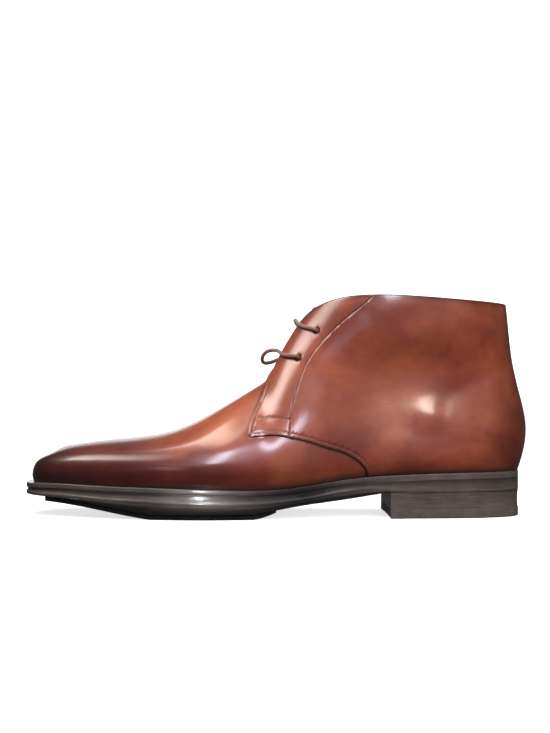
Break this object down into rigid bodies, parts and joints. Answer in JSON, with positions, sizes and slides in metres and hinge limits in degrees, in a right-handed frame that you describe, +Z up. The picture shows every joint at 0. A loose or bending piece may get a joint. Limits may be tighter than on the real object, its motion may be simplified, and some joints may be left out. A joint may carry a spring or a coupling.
{
  "type": "chukka boot",
  "caption": "Ankle-high leather lace-up boot with overlapping quarters, slim almond toe, welted leather sole and stacked heel.",
  "frame": {"origin": "middle of the footprint, on the plane that the sole stands on", "axes": "+X from toe to heel, +Y to the inner side of the foot, +Z up"},
  "size_m": [0.312, 0.0996, 0.1353],
  "materials": {
    "upper_leather": "burnished red-brown, polished, darker at toe, edges and seams",
    "tongue_leather": "dark brown, satin",
    "insole_leather": "natural tan, matt",
    "sole_edge": "dark brown waxed edge, semi-gloss",
    "tread_rubber": "matt black",
    "lift_rubber": "dark brown, matt",
    "lace_cord": "dark brown waxed round lace"
  },
  "bodies": {
    "root": {"upper": "upper_leather", "tongue": "tongue_leather", "insole": "insole_leather", "welt": "sole_edge", "outsole": "sole_edge", "forepart_tread": "tread_rubber", "heel_stack": "sole_edge", "top_lift": "lift_rubber", "lace_lower": "lace_cord", "lace_upper": "lace_cord"}
  },
  "joints": []
}
